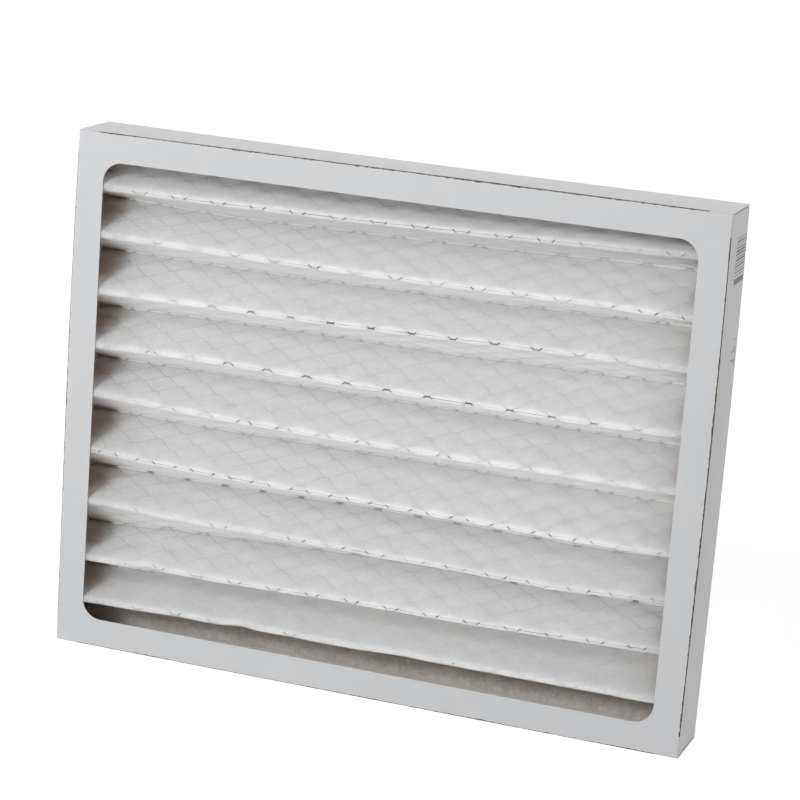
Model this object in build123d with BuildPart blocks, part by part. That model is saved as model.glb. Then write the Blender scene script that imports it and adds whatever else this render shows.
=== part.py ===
from build123d import *

import os
from math import acos, atan2, cos, hypot, sin, sqrt

# Pleated panel air filter.
#
# Two die-cut paperboard trays, nested mouth to mouth, hold one pleated nonwoven sheet. An
# expanded-metal grid is bonded to the sheet's air-leaving side and folded with it, and hot-melt
# beads seal the edges of the pleat pack to the trays.
#
# Millimetres. +X runs along the width, +Z is up, -Y is the air-entering face. The origin is the
# middle of the underside, so the filter stands on z = 0.

# ---- Overall size ---------------------------------------------------------------------------
WIDTH = 500.0
HEIGHT = 401.0
DEPTH = 51.0

# ---- Paperboard trays -----------------------------------------------------------------------
BOARD = 0.7                 # caliper of the coated board
CREASE_INSIDE_RADIUS = 0.3  # inside of every fold in the board
SIDE_BORDER = 21.4          # face left and right of the window
END_BORDER = 21.9           # face above and below the window
WINDOW_RADIUS = 15.0

CUT_SCORE_MARGIN = 17.0     # plain crease left at each end of a cut-scored fold
CUT_SCORE_WIDTH = 0.8       # how wide the half-depth cut opens when the wall is folded
CUT_SCORE_DEPTH = 0.35

TAB_LENGTH = 28.0           # corner tab, along the wall that it is glued to
TAB_TAPER = 6.0             # taken off each side of the tab by its free end
TAB_INSET = 3.0             # tab stays back from the face fold and from the wall's free edge
TAB_GLUE = 0.15             # adhesive film between tab and wall

NEST_CLEARANCE = 0.25       # rear tray inside the front tray, each side
WALL_END_GAP = 0.5          # rear tray's free edges stop short of the front face

# ---- Pleat pack -----------------------------------------------------------------------------
PLEATS = 9
MEDIA = 1.6                 # nonwoven sheet
GRID = 0.5                  # flattened expanded metal
BOND = 0.1                  # adhesive between sheet and grid
CREST_INSIDE_RADIUS = 1.4   # behind a front fold, at the grid
VALLEY_INSIDE_RADIUS = 2.0  # in front of a rear fold, at the sheet
PACK_CLEARANCE = 0.4        # folds to the faces of the trays
END_FLAP = 16.3             # flat end of the sheet, against the rear border
END_CLEARANCE = 0.5         # flap edge to the corner tabs

# How far each crest has settled below even spacing, from the top one down
CREST_DRIFT = (1.1, -2.3, -4.3, 2.0, 3.4, 7.7, 6.3, 5.7, 2.0)

# ---- Openings in the grid -------------------------------------------------------------------
DIAMONDS = 6                # across the pack, in one row on each pleat face
GRID_STRAND = 2.4           # metal between neighbouring diamonds
GRID_FOLD_BAND = 3.0        # metal left flat beside each fold

# ---- Hot melt -------------------------------------------------------------------------------
SIDE_BAND = 0.8             # thickness between the pleat ends and the side walls
SIDE_BAND_DEPTH = 36.0      # how much of the depth the band covers
END_FILLET = 4.0            # fillet between the end flaps and the end walls

# ---- Sizes that follow ----------------------------------------------------------------------
crease_radius = CREASE_INSIDE_RADIUS + BOARD
tab_stack = TAB_GLUE + BOARD
window_width = WIDTH - 2 * SIDE_BORDER
window_height = HEIGHT - 2 * END_BORDER

rear_width = WIDTH - 2 * (BOARD + NEST_CLEARANCE)
rear_height = HEIGHT - 2 * (BOARD + tab_stack + NEST_CLEARANCE)
rear_depth = DEPTH - BOARD - WALL_END_GAP

inside_width = rear_width - 2 * BOARD
inside_height = rear_height - 2 * BOARD
pack_width = inside_width - 2 * SIDE_BAND
pack_height = inside_height - 2 * (tab_stack + END_CLEARANCE)
pack_top = (HEIGHT + pack_height) / 2
pack_bottom = (HEIGHT - pack_height) / 2
pitch = (pack_height - 2 * END_FLAP) / PLEATS

# Layers of the pack, measured from the middle of the sheet towards the air-leaving side
media_front = -MEDIA / 2
media_back = MEDIA / 2
grid_front = media_back + BOND
grid_back = grid_front + GRID

# Extreme positions of the sheet's middle surface, and the bend radii there
crest_y = -DEPTH / 2 + BOARD + PACK_CLEARANCE - media_front
valley_y = DEPTH / 2 - BOARD - PACK_CLEARANCE - grid_back
crest_radius = CREST_INSIDE_RADIUS + grid_back
valley_radius = VALLEY_INSIDE_RADIUS - media_front

front_face = Plane(origin=(0, -DEPTH / 2, HEIGHT / 2), x_dir=(-1, 0, 0), z_dir=(0, 1, 0))
rear_face = Plane(origin=(0, DEPTH / 2, HEIGHT / 2), x_dir=(1, 0, 0), z_dir=(0, -1, 0))


# ---- Trays ----------------------------------------------------------------------------------
def folded_tray(face_plane, width, height, depth):
    """One die-cut blank folded into a tray.

    The outer face lies on face_plane and the walls run along its normal. The end walls span
    the full width. The side walls tuck between them and turn in as tabs at their ends, glued
    to the inside of the end walls.
    """
    into_tray = Axis(face_plane.origin, face_plane.z_dir)
    half_width = width / 2
    half_height = height / 2
    seam = TAB_GLUE + crease_radius
    tab_depth = depth - 2 * TAB_INSET

    with BuildPart() as tray:
        with BuildSketch(face_plane):
            Rectangle(width, height)
        extrude(amount=depth)
        fillet(tray.faces().sort_by(into_tray)[0].edges(), radius=crease_radius)
        offset(amount=-BOARD, openings=tray.faces().sort_by(into_tray)[-1])

        with BuildSketch(face_plane):
            RectangleRounded(window_width, window_height, WINDOW_RADIUS)
        extrude(amount=BOARD, mode=Mode.SUBTRACT)

        # Free the ends of the side walls from the end walls
        with BuildSketch(face_plane.offset(TAB_INSET)):
            with Locations((half_width - crease_radius / 2, half_height - BOARD - seam / 2)):
                Rectangle(crease_radius, seam)
            mirror(about=Plane.YZ)
            mirror(about=Plane.XZ)
        extrude(amount=depth, mode=Mode.SUBTRACT)

        # The creases that turn the side walls in under the end walls
        bend_centre = (half_width - crease_radius, half_height - BOARD - seam)
        with BuildSketch(face_plane.offset(TAB_INSET)):
            with BuildLine():
                outside = CenterArc(bend_centre, crease_radius, 0, 90)
                inside = CenterArc(bend_centre, CREASE_INSIDE_RADIUS, 0, 90)
                Line(outside @ 0, inside @ 0)
                Line(outside @ 1, inside @ 1)
            make_face()
            mirror(about=Plane.YZ)
            mirror(about=Plane.XZ)
        extrude(amount=tab_depth)

        # The tapered tabs beyond those creases
        root_x = half_width - crease_radius
        tip_x = root_x - TAB_LENGTH
        near = TAB_INSET
        far = TAB_INSET + tab_depth
        for side in (1, -1):
            tab_origin = face_plane.from_local_coords((0, side * (half_height - BOARD - TAB_GLUE), 0))
            tab_plane = Plane(tab_origin, x_dir=face_plane.z_dir, z_dir=face_plane.y_dir * -side)
            with BuildSketch(tab_plane):
                with BuildLine():
                    Polyline(
                        (near, root_x),
                        (near + TAB_TAPER, tip_x),
                        (far - TAB_TAPER, tip_x),
                        (far, root_x),
                        close=True,
                    )
                make_face()
                mirror(about=Plane.XZ)
            extrude(amount=BOARD)

        # Half-depth cuts along the outside of the face folds, opened by folding
        bend_offset = crease_radius * (1 - 1 / sqrt(2))
        folds = (
            (Plane(face_plane.origin, face_plane.y_dir, face_plane.x_dir), half_height, half_width),
            (Plane(face_plane.origin, face_plane.x_dir, -face_plane.y_dir), half_width, half_height),
        )
        for section_plane, fold_at, half_length in folds:
            with BuildSketch(section_plane):
                with Locations((fold_at - bend_offset, bend_offset)):
                    Rectangle(CUT_SCORE_WIDTH, 2 * CUT_SCORE_DEPTH, rotation=45)
                mirror(about=Plane.YZ)
            extrude(amount=half_length - CUT_SCORE_MARGIN, both=True, mode=Mode.SUBTRACT)
    return tray


front_tray = folded_tray(front_face, WIDTH, HEIGHT, DEPTH)
front_tray.part.label = "front_tray"

rear_tray = folded_tray(rear_face, rear_width, rear_height, rear_depth)
rear_tray.part.label = "rear_tray"


# ---- The folded section of the pack ---------------------------------------------------------
def pleat_folds():
    """Every fold from the top of the pack to the bottom, as (y, z, radius, direction).

    y and z are the bend's centre and radius is that of the sheet's middle surface. direction
    is -1 at a crest, which points to the front, and +1 at a valley.
    """
    highest = HEIGHT / 2 + pitch * (PLEATS - 1) / 2
    crests = [highest - pitch * i - CREST_DRIFT[i % len(CREST_DRIFT)] for i in range(PLEATS)]
    valleys = [pack_top - END_FLAP]
    valleys += [(upper + lower) / 2 for upper, lower in zip(crests, crests[1:])]
    valleys += [pack_bottom + END_FLAP]

    folds = [(valley_y - valley_radius, valleys[0], valley_radius, 1)]
    for crest_z, valley_z in zip(crests, valleys[1:]):
        folds.append((crest_y + crest_radius, crest_z, crest_radius, -1))
        folds.append((valley_y - valley_radius, valley_z, valley_radius, 1))
    return folds


def pleat_faces(layer):
    """The straight pleat faces of one layer, each as its upper and lower end point.

    layer is the distance behind the sheet's middle surface. Bends stay concentric from layer
    to layer, and each face is the cross tangent between the bends above and below it.
    """
    faces = []
    folds = pleat_folds()
    for upper, lower in zip(folds, folds[1:]):
        touching = []
        crest, valley = (upper, lower) if upper[3] < 0 else (lower, upper)
        run_y = valley[0] - crest[0]
        run_z = valley[1] - crest[1]
        rise = 1 if run_z > 0 else -1
        swing = acos((crest[2] + valley[2]) / hypot(run_y, run_z))
        normal_angle = atan2(run_z, run_y) + rise * swing
        for y, z, radius, direction in (upper, lower):
            reach = -direction * (radius + direction * layer)
            touching.append((y + reach * cos(normal_angle), z + reach * sin(normal_angle)))
        faces.append(tuple(touching))
    return faces


def draw_pleats(layer):
    """Draw the section line of one layer, from the top flap to the bottom flap."""
    faces = pleat_faces(layer)
    flap_y = valley_y + layer
    top_end = (flap_y, pack_top)
    bottom_end = (flap_y, pack_bottom)
    top_fold = (flap_y, pleat_folds()[0][1])
    bottom_fold = (flap_y, pleat_folds()[-1][1])

    Line(top_end, top_fold)
    TangentArc(top_fold, faces[0][0], tangent=(0, -1))
    for i, (start, end) in enumerate(faces):
        Line(start, end)
        leaves_at = faces[i + 1][0] if i + 1 < len(faces) else bottom_fold
        TangentArc(end, leaves_at, tangent=(end[0] - start[0], end[1] - start[1]))
    Line(bottom_fold, bottom_end)
    return top_end, bottom_end


def folded_sheet(front_layer, back_layer, left, right):
    """A sheet folded along the pleats, between two layers and from x = left to x = right."""
    with BuildPart() as sheet:
        with BuildSketch(Plane.YZ.offset(left)):
            with BuildLine():
                front_ends = draw_pleats(front_layer)
                back_ends = draw_pleats(back_layer)
                for front_end, back_end in zip(front_ends, back_ends):
                    Line(front_end, back_end)
            make_face()
        extrude(amount=right - left)
    return sheet


# ---- Nonwoven sheet -------------------------------------------------------------------------
pack_side = pack_width / 2

pleated_media = folded_sheet(media_front, media_back, -pack_side, pack_side)
pleated_media.part.label = "pleated_media"

# ---- Expanded-metal grid --------------------------------------------------------------------
diamond_pitch = pack_width / DIAMONDS

with BuildPart() as support_grid:
    add(folded_sheet(grid_front, grid_back, -pack_side, pack_side).part)

    for row, (start, end) in enumerate(pleat_faces((grid_front + grid_back) / 2)):
        run_y = end[0] - start[0]
        run_z = end[1] - start[1]
        face_length = hypot(run_y, run_z)
        middle = (0, (start[0] + end[0]) / 2, (start[1] + end[1]) / 2)
        pleat_plane = Plane(middle, x_dir=(1, 0, 0), z_dir=(0, -run_z, run_y))
        half_long = (diamond_pitch - GRID_STRAND) / 2
        half_short = face_length / 2 - GRID_FOLD_BAND
        with BuildSketch(pleat_plane):
            with GridLocations(diamond_pitch, 1, DIAMONDS - row % 2, 1):
                Polygon((half_long, 0), (0, half_short), (-half_long, 0), (0, -half_short))
        extrude(amount=GRID, both=True, mode=Mode.SUBTRACT)
support_grid.part.label = "support_grid"

# ---- Hot-melt beads -------------------------------------------------------------------------
# A flat band down each side wall, which the pleat ends are pressed against.
band_z = HEIGHT / 2
band_x = (inside_width - SIDE_BAND) / 2

with BuildPart() as glue_right:
    with BuildSketch(Plane.XZ):
        with Locations((band_x, band_z)):
            Rectangle(SIDE_BAND, pack_height)
    extrude(amount=SIDE_BAND_DEPTH / 2, both=True)
glue_right.part.label = "glue_right"

with BuildPart() as glue_left:
    add(mirror(glue_right.part, about=Plane.YZ, mode=Mode.PRIVATE))
glue_left.part.label = "glue_left"

# The end beads cap the flaps and fillet them to the end walls, between the corner tabs.
end_bead_length = inside_width - 2 * (crease_radius + TAB_LENGTH + END_CLEARANCE)


def end_bead(flap_z, wall_z):
    """Hot melt between a flap's edge at flap_z and the end wall at wall_z."""
    inwards = 1 if flap_z > wall_z else -1
    flap_front = valley_y + media_front
    flap_rear = valley_y + grid_back
    with BuildPart() as bead:
        with BuildSketch(Plane.YZ):
            with BuildLine():
                Polyline(
                    (flap_rear, wall_z),
                    (flap_rear, flap_z),
                    (flap_front, flap_z),
                    (flap_front, wall_z + inwards * END_FILLET),
                    (flap_front - END_FILLET, wall_z),
                    close=True,
                )
            make_face()
        extrude(amount=end_bead_length / 2, both=True)
    return bead


glue_top = end_bead(pack_top, (HEIGHT + inside_height) / 2)
glue_top.part.label = "glue_top"

glue_bottom = end_bead(pack_bottom, (HEIGHT - inside_height) / 2)
glue_bottom.part.label = "glue_bottom"

# ---- Files ----------------------------------------------------------------------------------
os.makedirs("parts", exist_ok=True)
for piece in (
    front_tray,
    rear_tray,
    pleated_media,
    support_grid,
    glue_left,
    glue_right,
    glue_top,
    glue_bottom,
):
    export_step(piece.part, f"parts/{piece.part.label}.step")
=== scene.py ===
# %% [markdown]
# # Pleated panel air filter
#
# The real object is a shallow box of two nested paperboard trays. A white nonwoven sheet, folded
# into nine pleats, fills it from wall to wall, and a thin expanded-metal grid is bonded to the
# sheet's air-leaving side and folded with it. This lesson dresses the CAD model: the trays get
# their soft warps and torn cut-score edges, the sheet and the grid are cut flat and then folded,
# and every finish is made from nodes.
#
# Metres throughout. +X runs along the width, +Z is up and -Y is the air-entering face.

import math

import bmesh
import bpy
import numpy as np
from mathutils import Euler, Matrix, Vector, noise


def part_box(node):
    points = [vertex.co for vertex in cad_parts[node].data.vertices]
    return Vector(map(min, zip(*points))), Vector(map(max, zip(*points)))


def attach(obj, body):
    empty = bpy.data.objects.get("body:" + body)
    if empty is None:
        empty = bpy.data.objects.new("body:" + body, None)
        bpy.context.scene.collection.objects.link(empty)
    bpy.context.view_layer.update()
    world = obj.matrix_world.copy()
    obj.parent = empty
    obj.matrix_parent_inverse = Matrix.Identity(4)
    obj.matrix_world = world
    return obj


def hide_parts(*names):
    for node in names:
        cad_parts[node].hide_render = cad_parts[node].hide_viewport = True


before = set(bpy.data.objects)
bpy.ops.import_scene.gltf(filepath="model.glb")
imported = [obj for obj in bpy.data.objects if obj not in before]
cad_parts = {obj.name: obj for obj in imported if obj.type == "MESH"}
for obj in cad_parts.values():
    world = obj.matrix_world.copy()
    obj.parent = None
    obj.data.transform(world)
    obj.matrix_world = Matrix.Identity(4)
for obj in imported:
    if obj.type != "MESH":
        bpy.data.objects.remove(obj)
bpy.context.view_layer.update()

MM = 0.001
outer_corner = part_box("front_tray")[1]
half_width, half_depth, height = outer_corner
print(f"frame {2000 * half_width:.1f} x {1000 * height:.1f} x {2000 * half_depth:.1f} mm")

# %% [markdown]
# ## Camera
#
# The filter stands upright and is seen from the right, from a little above and through a long
# lens, so its far edges hardly shrink. The camera is also rolled by a few degrees, which tilts
# the whole picture. A constraint that aims the camera would keep the view level and lose that
# roll, so its place and its three turns are plain numbers.

# %% Camera
SENSOR_WIDTH = 36.0  # mm
FOCAL_LENGTH = 125.7366  # mm
CAMERA_PLACE = (0.6558202, -1.9007732, 0.7208715)
CAMERA_TURNS = (76.12756, -4.18033, 19.82060)  # degrees about X, Y and Z; the second one rolls it

camera_data = bpy.data.cameras.new("camera")
camera_data.sensor_width = SENSOR_WIDTH
camera_data.lens = FOCAL_LENGTH
camera = bpy.data.objects.new("camera", camera_data)
bpy.context.scene.collection.objects.link(camera)
camera.location = CAMERA_PLACE
camera.rotation_euler = Euler([math.radians(turn) for turn in CAMERA_TURNS], "XYZ")
bpy.context.scene.camera = camera
print("camera at", tuple(round(v, 3) for v in camera.location))

# %% [markdown]
# ## Node helpers
#
# Every finish here is a tree of small nodes. Wired in the editor, each would be a page of boxes.
# In code, a few short functions that add one node and return its output let a whole tree be read
# as sums on values.

# %% Materials and nodes
def new_material(name):
    """An empty node material, its tree and its output node."""
    material = bpy.data.materials.new(name)
    material.use_nodes = True
    tree = material.node_tree
    tree.nodes.clear()
    return material, tree, tree.nodes.new("ShaderNodeOutputMaterial")


def add(tree, kind, settings=None, **inputs):
    """A node with its settings, and its inputs set to values or linked from sockets.

    An input goes by its name, with _ for a space, or by _ and its number.
    """
    node = tree.nodes.new(kind)
    for name, value in (settings or {}).items():
        setattr(node, name, value)
    for name, value in inputs.items():
        socket = node.inputs[int(name[1:]) if name[0] == "_" else name.replace("_", " ")]
        if isinstance(value, bpy.types.NodeSocket):
            tree.links.new(value, socket)
        else:
            socket.default_value = value
    return node


print("material helpers ready")

# %% Sums on values
def sums(tree, operation, first, second=0.0, third=0.0):
    """A Math node's result."""
    settings = {"operation": operation}
    return add(tree, "ShaderNodeMath", settings, _0=first, _1=second, _2=third).outputs[0]


def times(tree, first, *others):
    """Values multiplied together."""
    for other in others:
        first = sums(tree, "MULTIPLY", first, other)
    return first


def larger(tree, first, *others):
    """The largest of some values."""
    for other in others:
        first = sums(tree, "MAXIMUM", first, other)
    return first


def less(tree, first, second):
    """The first value less the second."""
    return sums(tree, "SUBTRACT", first, second)


print("sums ready")

# %% Colours, ranges and noise
def blend(tree, factor, first, second):
    """Two colours mixed."""
    node = add(tree, "ShaderNodeMix", {"data_type": "RGBA"}, _0=factor, _6=first, _7=second)
    return node.outputs[2]


def ramp(tree, value, low, high, to_low=0.0, to_high=1.0, way="SMOOTHSTEP"):
    """A value moved from one range to another, and clamped there."""
    sockets = {"_0": value, "_1": low, "_2": high, "_3": to_low, "_4": to_high}
    return add(tree, "ShaderNodeMapRange", {"interpolation_type": way}, **sockets).outputs[0]


def noise_of(tree, vector, scale, detail=3.0, roughness=0.5):
    """A noise texture's value, with scale in features a metre."""
    sockets = {"Vector": vector, "Scale": scale, "Detail": detail, "Roughness": roughness}
    return add(tree, "ShaderNodeTexNoise", None, **sockets).outputs[0]


def parts_of(tree, vector):
    """The three parts of a vector."""
    return list(add(tree, "ShaderNodeSeparateXYZ", None, Vector=vector).outputs)


print("colour helpers ready")

# %% Shaders
def bump_of(tree, relief, strength, depth):
    """Small relief for a shader's Normal, at most depth high."""
    sockets = {"Height": relief, "Strength": strength, "Distance": depth}
    return add(tree, "ShaderNodeBump", None, **sockets).outputs[0]


def skin_of(tree, colour, roughness, **others):
    """A Principled shader."""
    sockets = {"Base_Color": colour, "Roughness": roughness, **others}
    return add(tree, "ShaderNodeBsdfPrincipled", None, **sockets).outputs[0]


def mix_of(tree, share, first, second):
    """Two shaders mixed: the first, and a share of the second."""
    return add(tree, "ShaderNodeMixShader", None, Fac=share, _1=first, _2=second).outputs[0]


def seen_by(tree, *kinds):
    """1 for rays of some kinds and 0 for all others."""
    rays = tree.nodes.new("ShaderNodeLightPath").outputs
    return larger(tree, *[rays[kind] for kind in kinds])


print("shader helpers ready")

# %% [markdown]
# ## Stage and light
#
# The object stands on a plain white floor in front of pure white. A picture of a room wrapped
# round the world could light it, but a few soft lamps are easier to steer. The world and the
# floor's glow are white only for rays that look straight at them, through Light Path, so the
# light that reaches the object stays plain.
#
# Much of the look of a translucent sheet is light from behind. So a wide, bright wall of light
# stands far behind, a soft lamp in front gives shape, and a weak one fills in from the side.

# %% World
WHITE = (1, 1, 1, 1)
WORLD_COLOUR = (1.0, 0.99, 0.975, 1)
WORLD_LIGHT = 0.15

world = bpy.data.worlds.new("studio")
bpy.context.scene.world = world
world.use_nodes = True
tree = world.node_tree
tree.nodes.clear()
direct = seen_by(tree, "Is Camera Ray", "Is Glossy Ray", "Is Transmission Ray")
dim = add(tree, "ShaderNodeBackground", None, Color=WORLD_COLOUR, Strength=WORLD_LIGHT).outputs[0]
bright = add(tree, "ShaderNodeBackground", None, Color=WHITE, Strength=1.0).outputs[0]
add(tree, "ShaderNodeOutputWorld", None, Surface=mix_of(tree, direct, dim, bright))
print("world light", WORLD_LIGHT)

# %% Lamps
BODY_MIDDLE = (0.0, 0.0, height / 2)
LAMPS = {  # place, where it looks, width and height, watts, colour
    "key_lamp": ((-1.0, -2.6, 1.75), BODY_MIDDLE, (0.9, 1.2), 65.0, (0.965, 0.98, 1.0)),
    "back_wall": ((0.0, 6.1, 2.2), (0.0, 0.0, 2.2), (17.0, 4.4), 405.0, (1.0, 0.99, 0.98)),
    "side_fill": ((2.6, 0.5, 0.5), BODY_MIDDLE, (1.2, 1.2), 10.0, (1.0, 0.985, 0.96)),
}


def soft_lamp(name, place, target, size, power, colour):
    """An area lamp, size wide and high, that looks at a point and isn't itself seen."""
    data = bpy.data.lights.new(name, "AREA")
    data.shape = "RECTANGLE"
    data.size, data.size_y = size
    data.energy = power
    data.color = colour
    lamp = bpy.data.objects.new(name, data)
    bpy.context.scene.collection.objects.link(lamp)
    lamp.location = place
    lamp.rotation_euler = (Vector(target) - Vector(place)).to_track_quat("-Z", "Y").to_euler()
    lamp.visible_camera = False


for name, settings in LAMPS.items():
    soft_lamp(name, *settings)
print(len(LAMPS), "lamps")

# %% Floor
FLOOR_SIZE = 12.4
FLOOR_PAINT = (0.74, 0.74, 0.74, 1)
FLOOR_GLOW = 0.72

bm = bmesh.new()
bmesh.ops.create_grid(bm, x_segments=1, y_segments=1, size=FLOOR_SIZE / 2)
floor_mesh = bpy.data.meshes.new("floor")
bm.to_mesh(floor_mesh)
bm.free()
floor = bpy.data.objects.new("floor", floor_mesh)
bpy.context.scene.collection.objects.link(floor)

floor_material, tree, output = new_material("floor_white")
direct = seen_by(tree, "Is Camera Ray", "Is Glossy Ray")
paint = add(tree, "ShaderNodeBsdfDiffuse", None, Color=FLOOR_PAINT).outputs[0]
glow = add(tree, "ShaderNodeEmission", None, Color=WHITE, Strength=FLOOR_GLOW).outputs[0]
both = add(tree, "ShaderNodeAddShader", None, _0=paint, _1=glow).outputs[0]
tree.links.new(mix_of(tree, direct, paint, both), output.inputs["Surface"])
floor_mesh.materials.append(floor_material)
print("floor", FLOOR_SIZE, "m square")

# %% [markdown]
# ## How the sheet folds
#
# The sheet and its grid are one laminate, cut flat and then folded. Each is made flat at its
# true cut size first, and one function then lays any flat point onto the folds. The pleats could
# be drawn folded, or bent by modifiers, but then sheet and grid would drift apart. This way they
# stay together, and the developed length comes out right by itself.
#
# Real pleats are never quite even: each front fold wanders up and down along its length, and
# here and there it has a kink. The numbers below say how high each one runs, at six places from
# left to right, and how far each rear fold lies off the middle of its two front folds.

# %% Where the folds run
CREST_HEIGHTS = (  # mm above the floor, at six even places from the left end to the right
    (359.8, 359.6, 360.9, 362.9, 366.1, 368.5),
    (323.9, 322.9, 322.4, 323.0, 324.8, 323.2),
    (279.8, 281.2, 282.4, 284.5, 286.6, 286.6),
    (238.2, 240.3, 239.3, 238.5, 238.1, 239.6),
    (201.8, 198.0, 196.8, 196.7, 197.1, 197.4),
    (156.6, 153.8, 152.2, 151.3, 150.6, 151.3),
    (115.6, 113.7, 113.6, 113.4, 113.0, 116.6),
    (70.0, 71.0, 73.3, 74.0, 75.6, 79.2),
    (35.5, 38.3, 39.0, 41.0, 39.6, 40.6),
)
VALLEY_DRIFT = (  # mm that each rear fold lies above the middle of its two front folds
    (2.5, 0.5, 1.0, 1.5, 2.5, 4.0),
    (2.0, 0.0, 0.5, 0.5, 1.0, 3.0),
    (0.0, 0.0, 1.0, 1.0, 1.0, 2.0),
    (-1.0, 0.0, 1.5, 2.0, 2.0, 2.0),
    (-2.0, -0.5, 1.5, 2.0, 2.0, 2.0),
    (-4.5, -2.0, 0.5, 1.0, 1.0, 1.0),
    (-7.0, -3.0, 1.5, 2.0, 1.0, 0.5),
    (-2.0, -1.0, 0.0, 0.0, 0.0, 0.0),
)
KINKS = {  # which front fold: place from the left end, and rise
    6: (391 * MM, -1.2 * MM),
    7: (73 * MM, 2.6 * MM),
    8: (150 * MM, 1.9 * MM),
}
KINK_WIDTH = 9 * MM
CREST_WANDER = (0.3, 0.35, 0.35, 0.35, 0.35, 0.4, 0.7, 0.9, 0.9)  # mm, small waves on each
print(len(CREST_HEIGHTS), "front folds,", len(KINKS), "kinks")

# %% Radii, flaps and columns
CREST_RADIUS = 3.5 * MM
VALLEY_RADIUS = 1.0 * MM
CREST_REACH = 1.2 * MM  # from the front plane back to the folds
VALLEY_REACH = 2.4 * MM  # from the rear plane forward to them
END_FLAP = 16.3 * MM
COLUMNS = 201

sheet_low, sheet_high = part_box("pleated_media")
sheet_half = sheet_high.x
across = np.linspace(-sheet_half, sheet_half, COLUMNS)
print(f"{COLUMNS} columns across {2000 * sheet_half:.1f} mm")

# %% Smooth lines across the width
LANE_STEP = 7.31  # keeps the noise of neighbouring folds apart
WAVE_GAIN = 1.8  # brings the noise to between about -1 and 1
SOFTEN = 25 * MM


def wander(x, lane, size, seed=0.0):
    """Smooth random waves along x, between about -1 and 1. size is the length of one wave."""
    waves = [noise.noise(Vector((v / size, lane * LANE_STEP, seed))) for v in x]
    return np.array(waves) * WAVE_GAIN


def along_width(values, x):
    """Values given at even places across the width, as a smooth line."""
    places = np.linspace(-half_width, half_width, len(values))
    spread = np.linspace(-SOFTEN, SOFTEN, 9)
    return np.mean([np.interp(x + s, places, values) for s in spread], axis=0)


def crest_height(i):
    """One front fold's height: its row of the table, long and short waves, and its kink."""
    line = along_width(CREST_HEIGHTS[i], across) * MM
    for size, share, seed in ((62 * MM, 0.6, 0.0), (27 * MM, 0.3, 3.0)):
        line = line + wander(across, i, size, seed) * CREST_WANDER[i] * MM * share
    if i in KINKS:
        place, rise = KINKS[i]
        line = line + rise * np.exp(-(((across + half_width - place) / KINK_WIDTH) ** 2))
    return line


def valley_height(i, upper, lower):
    """The height of the rear fold between two front folds."""
    drift = along_width(VALLEY_DRIFT[i], across) * MM
    return (upper + lower) / 2 + drift + wander(across, i, 90 * MM, seed=5.0) * 0.5 * MM


crest_z = [crest_height(i) for i in range(len(CREST_HEIGHTS))]
valley_z = [valley_height(i, *pair) for i, pair in enumerate(zip(crest_z, crest_z[1:]))]
valley_z = [
    np.full(COLUMNS, sheet_high.z - END_FLAP), *valley_z, np.full(COLUMNS, sheet_low.z + END_FLAP)
]
print("front folds run", [round(float(1000 * z[COLUMNS // 2])) for z in crest_z], "mm up")

# %% The list of folds
FRONT, REAR = -1, 1
crest_y = -half_depth + CREST_REACH + CREST_RADIUS
valley_y = half_depth - VALLEY_REACH - VALLEY_RADIUS

folds = [(np.full(COLUMNS, valley_y), valley_z[0], VALLEY_RADIUS, REAR)]  # (y, z, radius, side)
for i, (z, next_z) in enumerate(zip(crest_z, valley_z[1:])):
    y = crest_y + wander(across, i, 70 * MM, seed=9.0) * 0.25 * MM
    next_y = valley_y + wander(across, i, 80 * MM, seed=11.0) * 0.2 * MM
    folds += [(y, z, CREST_RADIUS, FRONT), (next_y, next_z, VALLEY_RADIUS, REAR)]
print(len(crest_z), "front folds,", len(valley_z), "rear folds")

# %% [markdown]
# ## The folded surface
#
# Between two folds the sheet runs almost straight, and at each fold it turns round a small
# radius. On the real filter a face that comes down to a front fold also turns a little early,
# over a soft shoulder, because the stiff steel springs back there. The surface could be lofted
# through curves, but a list of rows of points, each with the way it looks, is all that is
# needed to lay a flat sheet on it later.

# %% Which way each face looks
def face_angle(upper, lower):
    """The way that the face between two folds looks, on its front side."""
    crest, valley = (upper, lower) if upper[3] == FRONT else (lower, upper)
    run_y, run_z = valley[0] - crest[0], valley[1] - crest[1]
    swing = np.arccos((crest[2] + valley[2]) / np.hypot(run_y, run_z))
    return (np.arctan2(run_z, run_y) + np.sign(run_z) * swing) % (2 * math.pi)


flap_angle = np.full(COLUMNS, math.pi)
angles = [face_angle(upper, lower) for upper, lower in zip(folds, folds[1:])]
print(len(angles), "faces between", len(folds), "folds")

# %% Rows for the flaps and the bends
FLAP_STEPS, FACE_STEPS, CREST_STEPS, VALLEY_STEPS = 3, 11, 14, 8

rows = []  # (y, z, front normal y, front normal z) of one row of points across the sheet


def add_row(y, z, angle):
    """One row of points, and the way that the sheet looks there."""
    rows.append((y, z, np.cos(angle), np.sin(angle)))


def add_flap(y, from_z, to_z, steps):
    """A flat flap's rows."""
    for t in steps:
        add_row(y, from_z + (to_z - from_z) * t, flap_angle)


def rim_of(fold, angle):
    """The point of a fold's round where the sheet looks a given way."""
    y, z, radius, side = fold
    return y - side * radius * np.cos(angle), z - side * radius * np.sin(angle)


def add_bend(fold, start, end, steps):
    """The round stretch of a fold, from one face's angle to the next."""
    for t in np.linspace(0, 1, steps + 1):
        angle = start + (end - start) * t
        add_row(*rim_of(fold, angle), angle)


print("rows for each pleat:", 2 * FACE_STEPS + CREST_STEPS + VALLEY_STEPS)

# %% Rows for a face
FACE_BULGE = 0.4 * MM
LOWER_BULGE = 0.2  # share of it on the faces under a front fold
CROWDING = 1.35  # rows on an upper face draw together towards its front fold
SHOULDER = 13 * MM  # over this last stretch an upper face turns down towards its front fold
SHOULDER_TURN = math.radians(15)


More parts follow.
